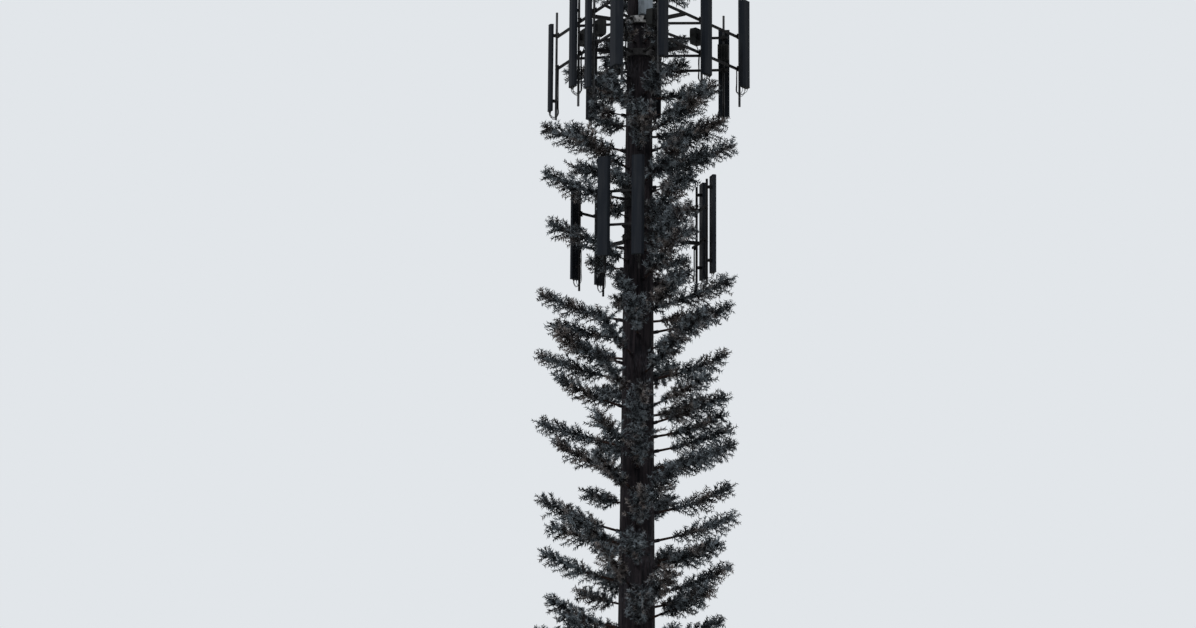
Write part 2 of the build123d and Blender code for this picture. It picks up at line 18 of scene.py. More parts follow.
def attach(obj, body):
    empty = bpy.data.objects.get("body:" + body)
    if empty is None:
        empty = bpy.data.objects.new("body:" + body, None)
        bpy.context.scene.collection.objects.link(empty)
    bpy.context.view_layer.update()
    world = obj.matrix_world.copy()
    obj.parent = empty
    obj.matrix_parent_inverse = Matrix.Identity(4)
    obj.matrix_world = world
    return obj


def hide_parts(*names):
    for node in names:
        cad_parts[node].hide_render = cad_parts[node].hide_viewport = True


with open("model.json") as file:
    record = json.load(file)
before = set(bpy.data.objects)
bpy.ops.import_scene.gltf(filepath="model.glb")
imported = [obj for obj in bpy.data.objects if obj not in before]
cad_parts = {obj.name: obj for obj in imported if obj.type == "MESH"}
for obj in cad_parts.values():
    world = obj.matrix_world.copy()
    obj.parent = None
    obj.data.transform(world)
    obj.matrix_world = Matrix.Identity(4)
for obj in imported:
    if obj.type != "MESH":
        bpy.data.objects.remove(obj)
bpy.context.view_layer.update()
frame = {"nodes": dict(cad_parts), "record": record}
nodes = frame["nodes"]
slot_of = {part["node"]: part["material_slot"] for part in frame["record"]["subparts"]}

# %% [markdown]
# ## Camera
# The photo was taken from the ground, a good way off, looking up at the tower's upper half. A camera
# placed by eye would bring no branch tip to its own place in the photo. So it is built from the photo's
# numbers: a long lens some eighty metres away, which matches how little the lower antennas are
# foreshortened, and a yaw and a roll that bring the pole's axis to its pixels.

# %% How the camera sees
PHOTO_WIDTH, PHOTO_HEIGHT = 1196, 628
EYE = Vector((0, -80.0, 1.6))
FOCAL_PIXELS = 3090.0
PITCH = math.radians(12.2)
AXIS_PIXEL_LOW, AXIS_PIXEL_HIGH = 636.8, 639.6
AXIS_HEIGHT_LOW, AXIS_HEIGHT_HIGH = 12.2, 27.0


def camera_turn(yaw, roll):
    """The turn of a camera that looks up by PITCH and aside by yaw, and leans by roll."""
    level = math.cos(PITCH)
    forward = Vector((-math.sin(yaw) * level, math.cos(yaw) * level, math.sin(PITCH)))
    right = forward.cross(Vector((0, 0, 1))).normalized()
    up = right.cross(forward)
    lean = Matrix.Rotation(roll, 3, forward)
    return Matrix((lean @ right, lean @ up, -forward)).transposed()


def pixel_of(point, turn):
    """Where a point falls in the photo, across and down."""
    seen = turn.transposed() @ (Vector(point) - EYE)
    across = PHOTO_WIDTH / 2 - FOCAL_PIXELS * seen.x / seen.z
    down = PHOTO_HEIGHT / 2 + FOCAL_PIXELS * seen.y / seen.z
    return across, down


def axis_pixels(turn):
    """How far across the photo the pole's axis is, at a low and at a high place."""
    return [pixel_of((0, 0, height), turn)[0] for height in (AXIS_HEIGHT_LOW, AXIS_HEIGHT_HIGH)]


print("axis before aiming", np.round(axis_pixels(camera_turn(0, 0)), 1))

# %% Aiming and placing the camera
AXIS_LENGTH_PIXELS = 550
AIMING_STEPS = 6
SENSOR_WIDTH = 36
FARTHEST_SEEN = 1000


def new_object(name, data):
    """An object round its data, put in the scene."""
    made = bpy.data.objects.new(name, data)
    bpy.context.scene.collection.objects.link(made)
    return made


yaw, roll = 0.0, 0.0
for _ in range(AIMING_STEPS):
    low, high = axis_pixels(camera_turn(yaw, roll))
    yaw += ((AXIS_PIXEL_LOW + AXIS_PIXEL_HIGH) / 2 - (low + high) / 2) / FOCAL_PIXELS
    roll -= ((AXIS_PIXEL_HIGH - AXIS_PIXEL_LOW) - (high - low)) / AXIS_LENGTH_PIXELS
camera_data = bpy.data.cameras.new("photo_camera")
camera_data.sensor_width = SENSOR_WIDTH
camera_data.lens = SENSOR_WIDTH * FOCAL_PIXELS / PHOTO_WIDTH
camera_data.clip_end = FARTHEST_SEEN
camera = new_object("photo_camera", camera_data)
camera.matrix_world = Matrix.Translation(EYE) @ camera_turn(yaw, roll).to_4x4()
bpy.context.scene.camera = camera
print("axis after aiming", np.round(axis_pixels(camera_turn(yaw, roll)), 1))

# %% [markdown]
# ## Nodes written as sums
# Paints, the sky and the trees that grow needles are all programs made of nodes, and could be drawn by
# hand in the node editor. Here one method adds any node, and a small class wraps what comes out of it
# and knows how to add and multiply, so that a program reads like a few lines of sums.

# %% Nodes and the values between them
class Value:
    """What comes out of a node. A sum with it adds the Math node by itself."""

    def __init__(self, maker, socket):
        self.maker = maker
        self.socket = socket

    def math(self, operation, first, second):
        return self.maker.add("ShaderNodeMath", {0: first, 1: second}, operation=operation)

    def __add__(self, other):
        return self.math("ADD", self, other)

    def __mul__(self, other):
        return self.math("MULTIPLY", self, other)

    def __truediv__(self, other):
        return self.math("DIVIDE", self, other)

    __radd__ = __add__

    def ramp(self, low, high):
        """0 below low, 1 above high, and a straight slope between."""
        ends = {"Value": self, "From Min": low, "From Max": high}
        return self.maker.add("ShaderNodeMapRange", ends, clamp=True)


class Nodes:
    """The nodes of a material, of the sky or of a Geometry Nodes tree."""

    def __init__(self, tree):
        self.tree = tree

    def add(self, kind, inputs=None, output=0, **settings):
        """Adds any node. Its settings are made first, because they decide which sockets it has."""
        node = self.tree.nodes.new(kind)
        for name, setting in settings.items():
            setattr(node, name, setting)
        for name, value in (inputs or {}).items():
            socket = next(each for index, each in enumerate(node.inputs)
                          if name in (index, each.name) and each.enabled)
            if isinstance(value, Value):
                self.tree.links.new(value.socket, socket)
            else:
                socket.default_value = value
        return Value(self, node.outputs[output]) if node.outputs else None


print("a sum can be written")

# %% A finish
MATT_GLOSS = 0.05


class Finish(Nodes):
    """A material in the making."""

    def __init__(self, name):
        self.material = bpy.data.materials.new(name)
        self.material.use_nodes = True
        super().__init__(self.material.node_tree)
        self.tree.nodes.clear()
        self.place = self.add("ShaderNodeTexCoord", output="Object")

    def noise(self, scale, detail=3.0, roughness=0.55):
        """Clouds of one scale in metres, or stretched ones where three scales are given."""
        place = self.place
        if isinstance(scale, tuple):
            place = self.add("ShaderNodeMapping", {"Vector": place, "Scale": scale})
            scale = 1.0
        return self.add("ShaderNodeTexNoise", {
            "Vector": place, "Scale": scale, "Detail": detail, "Roughness": roughness,
        })

    def colours(self, share, first, second):
        """A mix of two colours, which goes from the first to the second with its share."""
        ends = {"Factor": share, "A": first, "B": second}
        return self.add("ShaderNodeMix", ends, 2, data_type="RGBA")

    def bumped(self, relief, depth):
        return self.add("ShaderNodeBump", {"Height": relief, "Distance": depth})

    def close(self, inputs):
        """Ends the material. Weathered coats reflect little of the sky, so the gloss is low."""
        shader = self.add("ShaderNodeBsdfPrincipled", {"Specular IOR Level": MATT_GLOSS} | inputs)
        self.add("ShaderNodeOutputMaterial", {"Surface": shader})
        return self.material


def shade(red, green, blue):
    """A colour given as 0 to 255 screen values."""
    def linear(value):
        value /= 255
        return value / 12.92 if value <= 0.04045 else ((value + 0.055) / 1.055) ** 2.4
    return (linear(red), linear(green), linear(blue), 1.0)


print("half grey is", round(shade(128, 128, 128)[0], 3))

# %% [markdown]
# ## Bark paint on the pole
# The pole is coated to look like bark: near black, with brown and grey in it, and grooved up and down.
# A picture of bark wrapped round it would repeat itself and show its seam. Noise stretched upright
# gives grooves that never repeat, and a broad second noise the patches that have weathered lighter.

# %% Bark paint
BARK_DARK, BARK_BROWN, BARK_GREY = shade(9, 9, 13), shade(37, 33, 36), shade(70, 70, 76)
BARK_GROOVES, BARK_FLAKES, BARK_PATCHES = (14, 14, 1.1), (30, 30, 9), 0.7
GROOVE_DEPTH = 0.02


def make_bark():
    finish = Finish("bark_paint")
    grooves = finish.noise(BARK_GROOVES, 5.0, 0.65)
    flakes = finish.noise(BARK_FLAKES)
    patches = finish.noise(BARK_PATCHES, 2.0)
    coat = finish.colours(grooves.ramp(0.38, 0.66), BARK_DARK, BARK_BROWN)
    worn = patches.ramp(0.5, 0.75) * flakes.ramp(0.45, 0.7) * 0.7
    relief = grooves.ramp(0.3, 0.7) + flakes * 0.35
    return finish.close({
        "Base Color": finish.colours(worn, coat, BARK_GREY),
        "Roughness": flakes * 0.2 + 0.62,
        "Normal": finish.bumped(relief, GROOVE_DEPTH),
    })


bark = make_bark()
print("material", bark.name)

# %% [markdown]
# ## Paint on the mounts, the antennas and the boxes
# Nearly all on the rings is painted a dull dark colour, so that it disappears among the needles. Only
# the box on the pole stayed light grey. Rain has streaked the paint. Below a height, which takes in the
# lower collar, the collar zinc carries a dark coat of painted shade; above it, dark patches are partly
# flaked paint and partly painted shade. One flat colour would look like new plastic. Tall noise makes the
# streaks and round noise the clouds of wear, in metres, so that long rails and small plates match.

# %% Streaked paint
STREAKS, SPECKLE = (9, 9, 0.8), 60.0
SPECKLE_DEPTH = 0.0008


def make_paint(name, base, worn, roughness, grain=3.0):
    """Dull paint, from its own and its worn colour, its roughness, and how fine the wear is."""
    finish = Finish(name)
    streaks = finish.noise(STREAKS, 4.0)
    clouds = finish.noise(grain)
    wear = streaks.ramp(0.45, 0.75) * 0.55 + clouds.ramp(0.5, 0.8) * 0.35
    return finish.close({
        "Base Color": finish.colours(wear, shade(*base), shade(*worn)),
        "Roughness": clouds * 0.25 + (roughness - 0.12),
        "Normal": finish.bumped(finish.noise(SPECKLE, 2.0), SPECKLE_DEPTH),
    })


PAINTS = {
    "mount_paint": ((22, 23, 25), (44, 42, 42), 0.6),
    "antenna_paint": ((19, 23, 29), (38, 40, 43), 0.55, 1.6),
    "radio_housing": ((24, 26, 27), (42, 42, 42), 0.6),
    "light_grey_box": ((113, 122, 131), (84, 92, 96), 0.5),
    "pipe_paint": ((46, 48, 51), (92, 92, 94), 0.5),
    "dark_steel": ((34, 35, 37), (96, 96, 96), 0.5, 8.0),
    "cable_black": ((16, 17, 19), (38, 38, 40), 0.5, 6.0),
    "cap_plastic": ((20, 24, 29), (34, 37, 40), 0.6),
}
paints = {name: make_paint(name, *look) for name, look in PAINTS.items()}
print("paints", sorted(paints))

# %% Zinc, bare or darkened by flaked paint and painted shade
ZINC_DARK, ZINC_LIGHT, ZINC_DULL = shade(142, 143, 146), shade(178, 176, 174), shade(112, 116, 120)
# The dark coat of the collars is painted shade, and in the patches above its edge partly flaked paint
OLD_PAINT_AND_SHADE = shade(30, 29, 31)
SPANGLES, ZINC_CLOUDS, FLAKE_AND_SHADE_SCALE = 45.0, 4.0, 3.5
SPANGLE_DEPTH, DARK_EDGE = 0.0006, 0.1
ZINC_GLOSS = 0.4


def make_galvanised(name, dark_below=None):
    """Zinc. Given a height, a dark coat of painted shade covers all below it, and dark patches above it
    are partly flaked paint and partly painted shade.
    """
    finish = Finish(name)
    cells = {"Vector": finish.place, "Scale": SPANGLES}
    spangles = finish.add("ShaderNodeTexVoronoi", cells, "Distance")
    clouds = finish.noise(ZINC_CLOUDS, 4.0)
    zinc = finish.colours(clouds.ramp(0.35, 0.7), ZINC_DARK, ZINC_LIGHT)
    colour = finish.colours(spangles.ramp(0.0, 0.6) * 0.3, zinc, ZINC_DULL)
    bare = 1.0
    if dark_below is not None:
        height = finish.add("ShaderNodeSeparateXYZ", {"Vector": finish.place}, "Z")
        # Dark patches above the edge: partly flaked paint, partly painted shade; below the edge all is
        # painted shade
        flakes_and_shade = finish.noise(FLAKE_AND_SHADE_SCALE, 2.0).ramp(0.44, 0.56)
        bare = height.ramp(dark_below - DARK_EDGE, dark_below + DARK_EDGE) * flakes_and_shade
        colour = finish.colours(bare, OLD_PAINT_AND_SHADE, colour)
    return finish.close({
        "Base Color": colour,
        "Metallic": bare * 0.7,
        "Roughness": clouds * 0.2 + 0.42,
        "Specular IOR Level": ZINC_GLOSS,
        "Normal": finish.bumped(spangles, SPANGLE_DEPTH),
    })


zinc = make_galvanised("galvanised_steel")
print("material", zinc.name)

# %% Painting the CAD pieces
# Below this height the collar zinc is darkened all over with painted shade
COLLAR_DARK_BELOW = 26.5

paints.update(bark_paint=bark, galvanised_steel=zinc)
own_paints = {
    "top_collars": make_galvanised("collar_steel", COLLAR_DARK_BELOW),
    "top_pipes": paints["pipe_paint"],
}
for name, piece in nodes.items():
    paint = own_paints.get(name, paints.get(slot_of[name]))
    if paint is not None:
        piece.data.materials.clear()
        piece.data.materials.append(paint)
print("painted", sum(slot in paints for slot in slot_of.values()), "CAD pieces")

# %% [markdown]
# ## Separate solids of a node
# A node of the frame may hold many like solids: every branch of a tier, every clamp plate of a ring.
# Their places could be typed in again, but would be wrong as soon as the CAD changes. So each solid is
# found by walking along the edges of a merged copy of the mesh. The way its largest upright face looks
# is kept with it, since that tells which way a plate or an antenna is turned.

# %% Solids of a node
MERGE_DISTANCE, UPRIGHT = 1e-5, 0.1


def connected(first, seen):
    """Every vertex that the edges join to the first one. Each is added to those seen."""
    seen.add(first.index)
    island, front = [], [first]
    while front:
        vertex = front.pop()
        island.append(vertex)
        for edge in vertex.link_edges:
            other = edge.other_vert(vertex)
            if other.index not in seen:
                seen.add(other.index)
                front.append(other)
    return sorted(island, key=lambda vertex: vertex.index)


def outward_of(island, corners):
    """The way a solid's largest upright face looks, turned away from the pole."""
    upright = [face for vertex in island for face in vertex.link_faces if abs(face.normal.z) < UPRIGHT]
    if not upright:
        return None
    outward = np.array(max(upright, key=lambda face: round(face.calc_area(), 6)).normal)
    return outward * np.sign(outward[:2] @ corners.mean(0)[:2])


def islands(node):
    """The solids of a CAD node, each as its corners and its outward direction."""
    shape = bmesh.new()
    shape.from_mesh(nodes[node].data)
    bmesh.ops.remove_doubles(shape, verts=shape.verts, dist=MERGE_DISTANCE)
    shape.verts.index_update()
    shape.normal_update()
    found, seen = [], set()
    for first in shape.verts:
        if first.index not in seen:
            island = connected(first, seen)
            corners = np.array([list(vertex.co) for vertex in island])
            found.append((corners, outward_of(island, corners)))
    shape.free()
    return found


print("clamp plates", len(islands("top_clamp_plates")), "radios", len(islands("top_radios")))

# %% Solids as upright blocks
UP, LEVEL = np.array((0, 0, 1)), np.array((1, 1, 0))


def unit(vector):
    return vector / np.linalg.norm(vector)


class Block:
    """An upright solid with an outward and a sideways direction, and its extents along them."""

    def __init__(self, corners, outward):
        self.corners = corners
        self.out = unit(outward * LEVEL)
        self.side = np.cross(UP, self.out)
        self.low, self.high = corners[:, 2].min(), corners[:, 2].max()
        self.near, self.far = (corners @ self.out).min(), (corners @ self.out).max()
        self.right, self.left = (corners @ self.side).min(), (corners @ self.side).max()
        self.middle = (self.left + self.right) / 2
        self.waist = (self.low + self.high) / 2

    def at(self, out, side, height):
        """A point given by its distance out from the axis, its place along the face, and its height."""
        return self.out * out + self.side * side + UP * height


def blocks(node):
    return [Block(corners, outward) for corners, outward in islands(node)]


print("a radio is", round(blocks("top_radios")[0].high - blocks("top_radios")[0].low, 2), "m tall")

# %% [markdown]
# ## Where the branches are
# Each branch of the frame is one closed skin: four corners at the root, four where the needles start,
# four at every tuft and one at the tip. Needles could be strewn over that skin, but the real ones grow
# from twigs inside it. So the limb's bend and the frond's outline are read back from those corners, and
# the needles always fill the form that the CAD gives the branch.

# %% Reading a branch from its corners
ROOT_CORNERS, ROOT_SHARE, LEADER_GIRTH = 4, 0.05, 0.4
STRAIGHT, MIDLINE = 0.01, 0.01
TIP_END, TIP_WIDTH = 1e-4, 0.02


class Branch:
    """One branch: its root, an outward, a sideways and an upward direction, and its outline."""

    def __init__(self, corners):
        from_axis = np.hypot(corners[:, 0], corners[:, 1])
        nearness = corners[:, 2] if from_axis.max() < LEADER_GIRTH else from_axis
        ring = corners[np.argsort(nearness)[:ROOT_CORNERS]]
        self.root = ring.mean(0)
        out = np.linalg.svd(ring - self.root)[2][2]
        self.out = out * np.sign(out @ (corners.mean(0) - self.root))
        tip = corners[((corners - self.root) @ self.out).argmax()]
        self.length = float((tip - self.root) @ self.out)
        lift = tip - self.root - self.out * self.length
        self.bend = float(np.linalg.norm(lift)) / self.length
        self.up = unit(lift) if self.bend > STRAIGHT else unit(ring[0] - self.root)
        self.side = np.cross(self.up, self.out)
        self.limb = float(np.linalg.norm(ring - self.root, axis=1).mean())
        self.read_outline(corners - self.root)

    def read_outline(self, offset):
        """Keeps how far the frond reaches to the left, to the right, above and below its limb."""
        x, y = offset @ self.out, offset @ self.side
        z = offset @ self.up - self.bend * x * x / self.length
        beyond = (x > ROOT_SHARE * self.length) & (x < self.length - TIP_END)
        middle = beyond & (np.abs(y) < MIDLINE)
        self.bare = float(x[beyond].min()) / self.length

        def edge(chosen, reach):
            order = np.argsort(x[chosen])
            return np.append(x[chosen][order], self.length), np.append(reach[chosen][order], TIP_WIDTH)

        self.left, self.right = edge(beyond & (y > MIDLINE), y), edge(beyond & (y < -MIDLINE), -y)
        self.above, self.below = edge(middle & (z > 0), z), edge(middle & (z < 0), -z)

    def spine(self, x):
        """The point on the curved limb at a distance out from the root."""
        return self.root + self.out * x + self.up * (self.bend * x * x / self.length)

    def heading(self, x):
        return unit(self.out + self.up * (2 * self.bend * x / self.length))

    def room(self, x, hand, rise):
        """How far the frond reaches from its limb, sideways (hand -1 or 1) and upwards by rise."""
        wide = np.interp(x, *(self.left if hand > 0 else self.right))
        tall = np.interp(x, *(self.above if rise > 0 else self.below))
        return 1 / (math.cos(rise) / wide + abs(math.sin(rise)) / tall)


branch_nodes = sorted(name for name in nodes if slot_of[name] == "needle_foliage")
branches = {name: [Branch(corners) for corners, _ in islands(name)] for name in branch_nodes}
print({name: len(found) for name, found in branches.items()})
sample = branches[branch_nodes[0]][0]
print("one branch is", round(sample.length, 2), "long and bare to", round(sample.bare, 2))

# %% [markdown]
# ## Twigs
# A plastic pine branch is a pipe with side twigs that sweep forward, and every twig is a bottle brush
# of needles. Some twigs stand up and some hang, which makes the frond thick. Copies of one twig would
# show, because every frond has its own outline. So each twig is drawn as a polyline that stops at the
# outline read above, and the brush is left to Geometry Nodes.

# %% Drawing a limb
LIMB_STEPS, LIMB_FROM = 7, 0.65
LIMB_THICKNESS, LIMB_TAPER = 0.95, 0.75
LIMB_NEEDLES = [0.0, 0.0] + [1.0] * 5 + [0.85, 0.65]


def draw_limb(branch, lines):
    """Adds a line of points, their thicknesses, and whether and how long their needles are."""
    first = LIMB_FROM * branch.bare
    shares = [0.0] + [first + (1 - first) * step / LIMB_STEPS for step in range(LIMB_STEPS + 1)]
    points = [branch.spine(share * branch.length) for share in shares]
    thickness = [branch.limb * (LIMB_THICKNESS - LIMB_TAPER * share) for share in shares]
    lines.append((points, thickness, LIMB_NEEDLES))


print("points of a limb", len(LIMB_NEEDLES))

# %% Drawing a twig
FORWARD = 1 / math.tan(math.radians(50))
PAST_OUTLINE, CROWDED_PAST = 0.1, 0.15
CROWDED_FROM, CROWDED_TO = 20.5, 27.2
REACH_START, REACH_STEP, LEAST_REACH, REACH_SPREAD = 0.05, 0.02, 0.09, (0.7, 1.15)
LAST_SHARE = 0.98
HANG, WOBBLE, BOW = 0.07, 0.015, 0.04
TWIG_THICKNESS, TWIG_NEEDLES = [0.009, 0.007, 0.005], [1.0, 1.0, 0.8]
chance = np.random.default_rng(11)


def is_crowded(branch):
    """Branches between the rings and under the upper one are fuller, and needled nearer the pole."""
    return CROWDED_FROM < branch.root[2] < CROWDED_TO


def twig_reach(branch, x, hand, rise):
    """How far a twig reaches aside. Needles pass the outline a little, most of all below the limb."""
    past = (CROWDED_PAST if is_crowded(branch) else PAST_OUTLINE) - HANG * math.sin(rise)
    reach = REACH_START
    while reach < branch.room(min(x + reach * FORWARD, branch.length), hand, rise) + past:
        reach += REACH_STEP
    return max(reach, LEAST_REACH) * chance.uniform(*REACH_SPREAD)


def draw_twig(branch, x, hand, rise, lines):
    """Adds one twig, from the limb to the frond's outline, a little bowed."""
    aside = branch.side * hand * math.cos(rise) + branch.up * math.sin(rise)
    reach = twig_reach(branch, x, hand, rise)
    run = min(reach * FORWARD, LAST_SHARE * branch.length - x)
    start = branch.spine(x)
    points = [start]
    for share in (0.5, 1.0):
        wobble = chance.normal(0, WOBBLE, 3) + branch.up * (BOW * share * share)
        points.append(start + branch.heading(x) * run * share + aside * reach * share ** 0.9 + wobble)
    lines.append((points, TWIG_THICKNESS, TWIG_NEEDLES))


print("crowded branches", sum(is_crowded(branch) for found in branches.values() for branch in found))

# %% Drawing whole branches
TWIG_GAP, SHORT_GAP, LENGTH_FOR_GAP = 0.14, 0.55, 5
TWIGS_END, LEAST_TWIGS = 0.95, 3
BARE_SHARE, CROWDED_BARE_SHARE = 0.55, 0.2
SOCKET_END = 0.15
# Each kind of twig has its rises in turn, steps through them, a window in the gap and a spread
TWIG_KINDS = (
    ((-0.5, 0.2, -0.2, 0.35), 1, (0.1, 0.6), 0.1),
    ((1.25, -1.2, 1.0, -1.35), 2, (0.2, 0.8), 0.15),
)


def draw_branch(branch, lines):
    """Adds one limb and its twigs, pair by pair to both hands, sideways ones and steep ones."""
    draw_limb(branch, lines)
    bare_share = CROWDED_BARE_SHARE if is_crowded(branch) else BARE_SHARE
    start = max(bare_share * branch.bare * branch.length, SOCKET_END)
    gap = TWIG_GAP * min(1.0, SHORT_GAP + branch.length / LENGTH_FOR_GAP)
    count = max(LEAST_TWIGS, int((TWIGS_END * branch.length - start) / gap))
    for index in range(count):
        for hand in (-1, 1):
            for rises, step, window, spread in TWIG_KINDS:
                at = start + (index + chance.uniform(*window)) * gap
                rise = rises[(step * index + (hand > 0)) % len(rises)] + chance.normal(0, spread)
                draw_twig(branch, at, hand, rise, lines)


drawn = {}
for name, found in branches.items():
    drawn[name] = []
    for branch in found:
        draw_branch(branch, drawn[name])
all_lines = [line for lines in drawn.values() for line in lines]
metres = sum(np.linalg.norm(np.diff(line[0], axis=0), axis=1).sum() for line in all_lines)
print("polylines", len(all_lines), "metres of twig", round(metres))

# %% Polylines as a mesh
def marked_mesh(name, points, edges, **marks):
    """A mesh of points and edges, with a number or a direction kept for each point."""
    mesh = bpy.data.meshes.new(name)
    mesh.from_pydata(points, edges, [])
    for mark, values in marks.items():
        values = np.array(values, np.float32)
        kind, field = ("FLOAT", "value") if values.ndim == 1 else ("FLOAT_VECTOR", "vector")
        mesh.attributes.new(mark, kind, "POINT").data.foreach_set(field, values.ravel())
    return mesh


def polyline_mesh(name, lines):
    """All lines in one mesh, whose points keep their thickness and their needles' length."""
    edges, start = [], 0
    for line in lines:
        edges += [(start + step, start + step + 1) for step in range(len(line[0]) - 1)]
        start += len(line[0])
    points, thickness, needled = [[each for part in column for each in part] for column in zip(*lines)]
    return marked_mesh(name, points, edges, thickness=thickness, needled=needled)


twigs = {name: polyline_mesh(name + "_lines", lines) for name, lines in drawn.items()}
print("edges of the lines", sum(len(mesh.edges) for mesh in twigs.values()))

# %% [markdown]
# ## Needles
# Each needle on the real branch is a flat strip of plastic as long as a hand. A Python loop over two
# hundred thousand of them would be slow, and a particle system gives no say over a single needle. Here
# one needle is a four-faced spike, and Geometry Nodes set it round every twig, tilted forward like a
# bottle brush. Each carries a random tone, and a number at each end, for the colour later on.

# %% A Geometry Nodes tree
class Tree(Nodes):
    """A Geometry Nodes tree with named inputs, and short forms of the nodes used often."""

    def __init__(self, name, inputs):
        super().__init__(bpy.data.node_groups.new(name, "GeometryNodeTree"))
        new_socket = self.tree.interface.new_socket
        new_socket("Geometry", in_out="INPUT", socket_type="NodeSocketGeometry")
        new_socket("Geometry", in_out="OUTPUT", socket_type="NodeSocketGeometry")
        self.identifiers = {}
        for label, value in inputs.items():
            kind = "NodeSocketInt" if isinstance(value, int) else "NodeSocketFloat"
            socket = new_socket(label, in_out="INPUT", socket_type=kind)
            socket.default_value = value
            self.identifiers[label] = socket.identifier
        outputs = self.tree.nodes.new("NodeGroupInput").outputs
        self.given = {label: Value(self, outputs[label]) for label in ("Geometry", *inputs)}

    def store(self, geometry, name, value, data_type="FLOAT", domain="POINT"):
        return self.add("GeometryNodeStoreNamedAttribute", {
            "Geometry": geometry, "Name": name, "Value": value,
        }, data_type=data_type, domain=domain)

    def read(self, name, data_type="FLOAT"):
        return self.add("GeometryNodeInputNamedAttribute", {"Name": name}, data_type=data_type)

    def random(self, low, high, seed):
        ends = {"Min": low, "Max": high, "Seed": seed}
        return self.add("FunctionNodeRandomValue", ends, 1, data_type="FLOAT")

    def finished(self, geometry, material):
        """Instances made real, because the export drops them, in their material."""
        real = self.add("GeometryNodeRealizeInstances", {"Geometry": geometry})
        return self.add("GeometryNodeSetMaterial", {"Geometry": real, "Material": material})

    def joined(self, *pieces):
        together = self.tree.nodes.new("GeometryNodeJoinGeometry")
        for piece in pieces:
            self.tree.links.new(piece.socket, together.inputs[0])
        return Value(self, together.outputs[0])

    def swept(self, curves, sides, material):
        """Pipes along curves, as thick as their points say."""
        ring = self.add("GeometryNodeCurvePrimitiveCircle", {"Resolution": sides, "Radius": 1.0})
        pipes = self.add("GeometryNodeCurveToMesh", {
            "Curve": curves, "Profile Curve": ring, "Fill Caps": True, "Scale": self.read("thickness"),
        })
        return self.finished(pipes, material)

    def end(self, geometry):
        self.add("NodeGroupOutput", {"Geometry": geometry})

    def use(self, source, name, **inputs):
        """A plain mesh object, made by running the tree on a mesh."""
        holder = new_object(name, source)
        modifier = holder.modifiers.new("tree", "NODES")
        modifier.node_group = self.tree
        for label, value in inputs.items():
            modifier[self.identifiers[label]] = value
        graph = bpy.context.evaluated_depsgraph_get()
        made = bpy.data.meshes.new_from_object(holder.evaluated_get(graph))
        made.name = name
        holder.modifiers.remove(modifier)
        holder.data = made
        return holder


print("a tree can be grown")

# %% Where the needles stand
LEAST_NEEDLE = 0.5


def needle_points(tree, curves):
    """Points along the needled lines, several at each place. Each keeps the way its line turns."""
    dense = tree.add("GeometryNodeResampleCurve", {
        "Curve": curves, "Length": tree.given["Spacing"],
    }, mode="LENGTH")
    points = tree.add("GeometryNodeCurveToPoints", {"Curve": dense}, mode="EVALUATED")
    rotation = Value(tree, points.socket.node.outputs["Rotation"])
    turned = tree.store(points, "along_twig", rotation, "QUATERNION")
    bare = tree.add("FunctionNodeCompare", {
        "A": tree.read("needled"), "B": LEAST_NEEDLE,
    }, data_type="FLOAT", operation="LESS_THAN")
    kept = tree.add("GeometryNodeDeleteGeometry", {"Geometry": turned, "Selection": bare}, domain="POINT")
    return tree.add("GeometryNodeDuplicateElements", {
        "Geometry": kept, "Amount": tree.given["Needles"],
    }, domain="POINT")


print("needles stand where the mark is", LEAST_NEEDLE, "or more")

# %% One needle and its turn
NEEDLE_SIDES = 3
TILT_SPREAD, TILT_SEED = (0.75, 1.25), 7


def one_needle(tree):
    """A spike with three sides and a foot, marked 0 at the foot and 1 at the point."""
    length = tree.given["Needle Length"]
    cone = tree.add("GeometryNodeMeshCone", {
        "Vertices": NEEDLE_SIDES, "Radius Top": 0.0, "Radius Bottom": tree.given["Needle Width"],
        "Depth": length,
    }, fill_type="NGON")
    position = tree.add("GeometryNodeInputPosition")
    height = tree.add("ShaderNodeSeparateXYZ", {"Vector": position}, "Z")
    return tree.store(cone, "along", height / length)


def needle_turn(tree):
    """Turns a needle round its twig at random, and tilts it forward along the twig."""
    spin = tree.random(0.0, 2 * math.pi, tree.given["Seed"])
    tilt = tree.random(*TILT_SPREAD, TILT_SEED) * tree.given["Tilt"]
    euler = tree.add("ShaderNodeCombineXYZ", {"X": tilt, "Z": spin})
    swing = tree.add("FunctionNodeEulerToRotation", {"Euler": euler})
    return tree.add("FunctionNodeRotateRotation", {
        "Rotation": tree.read("along_twig", "QUATERNION"), "Rotate By": swing,
    }, rotation_space="LOCAL")


print("a needle's faces", NEEDLE_SIDES + 1)

# %% The needle brush
SIZE_SPREAD, SIZE_SEED, TONE_SEED = (0.7, 1.1), 5, 9
LIMB_SIDES = 4


def make_brush_tree(needle_material, limb_material):
    """Limbs and twigs as pipes, and needles of random sizes and tones round them."""
    tree = Tree("needle_brush", {
        "Needle Length": 0.135, "Needle Width": 0.0195, "Spacing": 0.0495, "Needles": 4,
        "Tilt": 1.0, "Seed": 3,
    })
    curves = tree.add("GeometryNodeMeshToCurve", {"Mesh": tree.given["Geometry"]})
    placed = tree.add("GeometryNodeInstanceOnPoints", {
        "Points": needle_points(tree, curves), "Instance": one_needle(tree),
        "Rotation": needle_turn(tree),
        "Scale": tree.random(*SIZE_SPREAD, SIZE_SEED) * tree.read("needled"),
    })
    toned = tree.store(placed, "tone", tree.random(0.0, 1.0, TONE_SEED), domain="INSTANCE")
    pipes = tree.swept(curves, LIMB_SIDES, limb_material)
    tree.end(tree.joined(pipes, tree.finished(toned, needle_material)))
    return tree


print("sides of a limb", LIMB_SIDES)
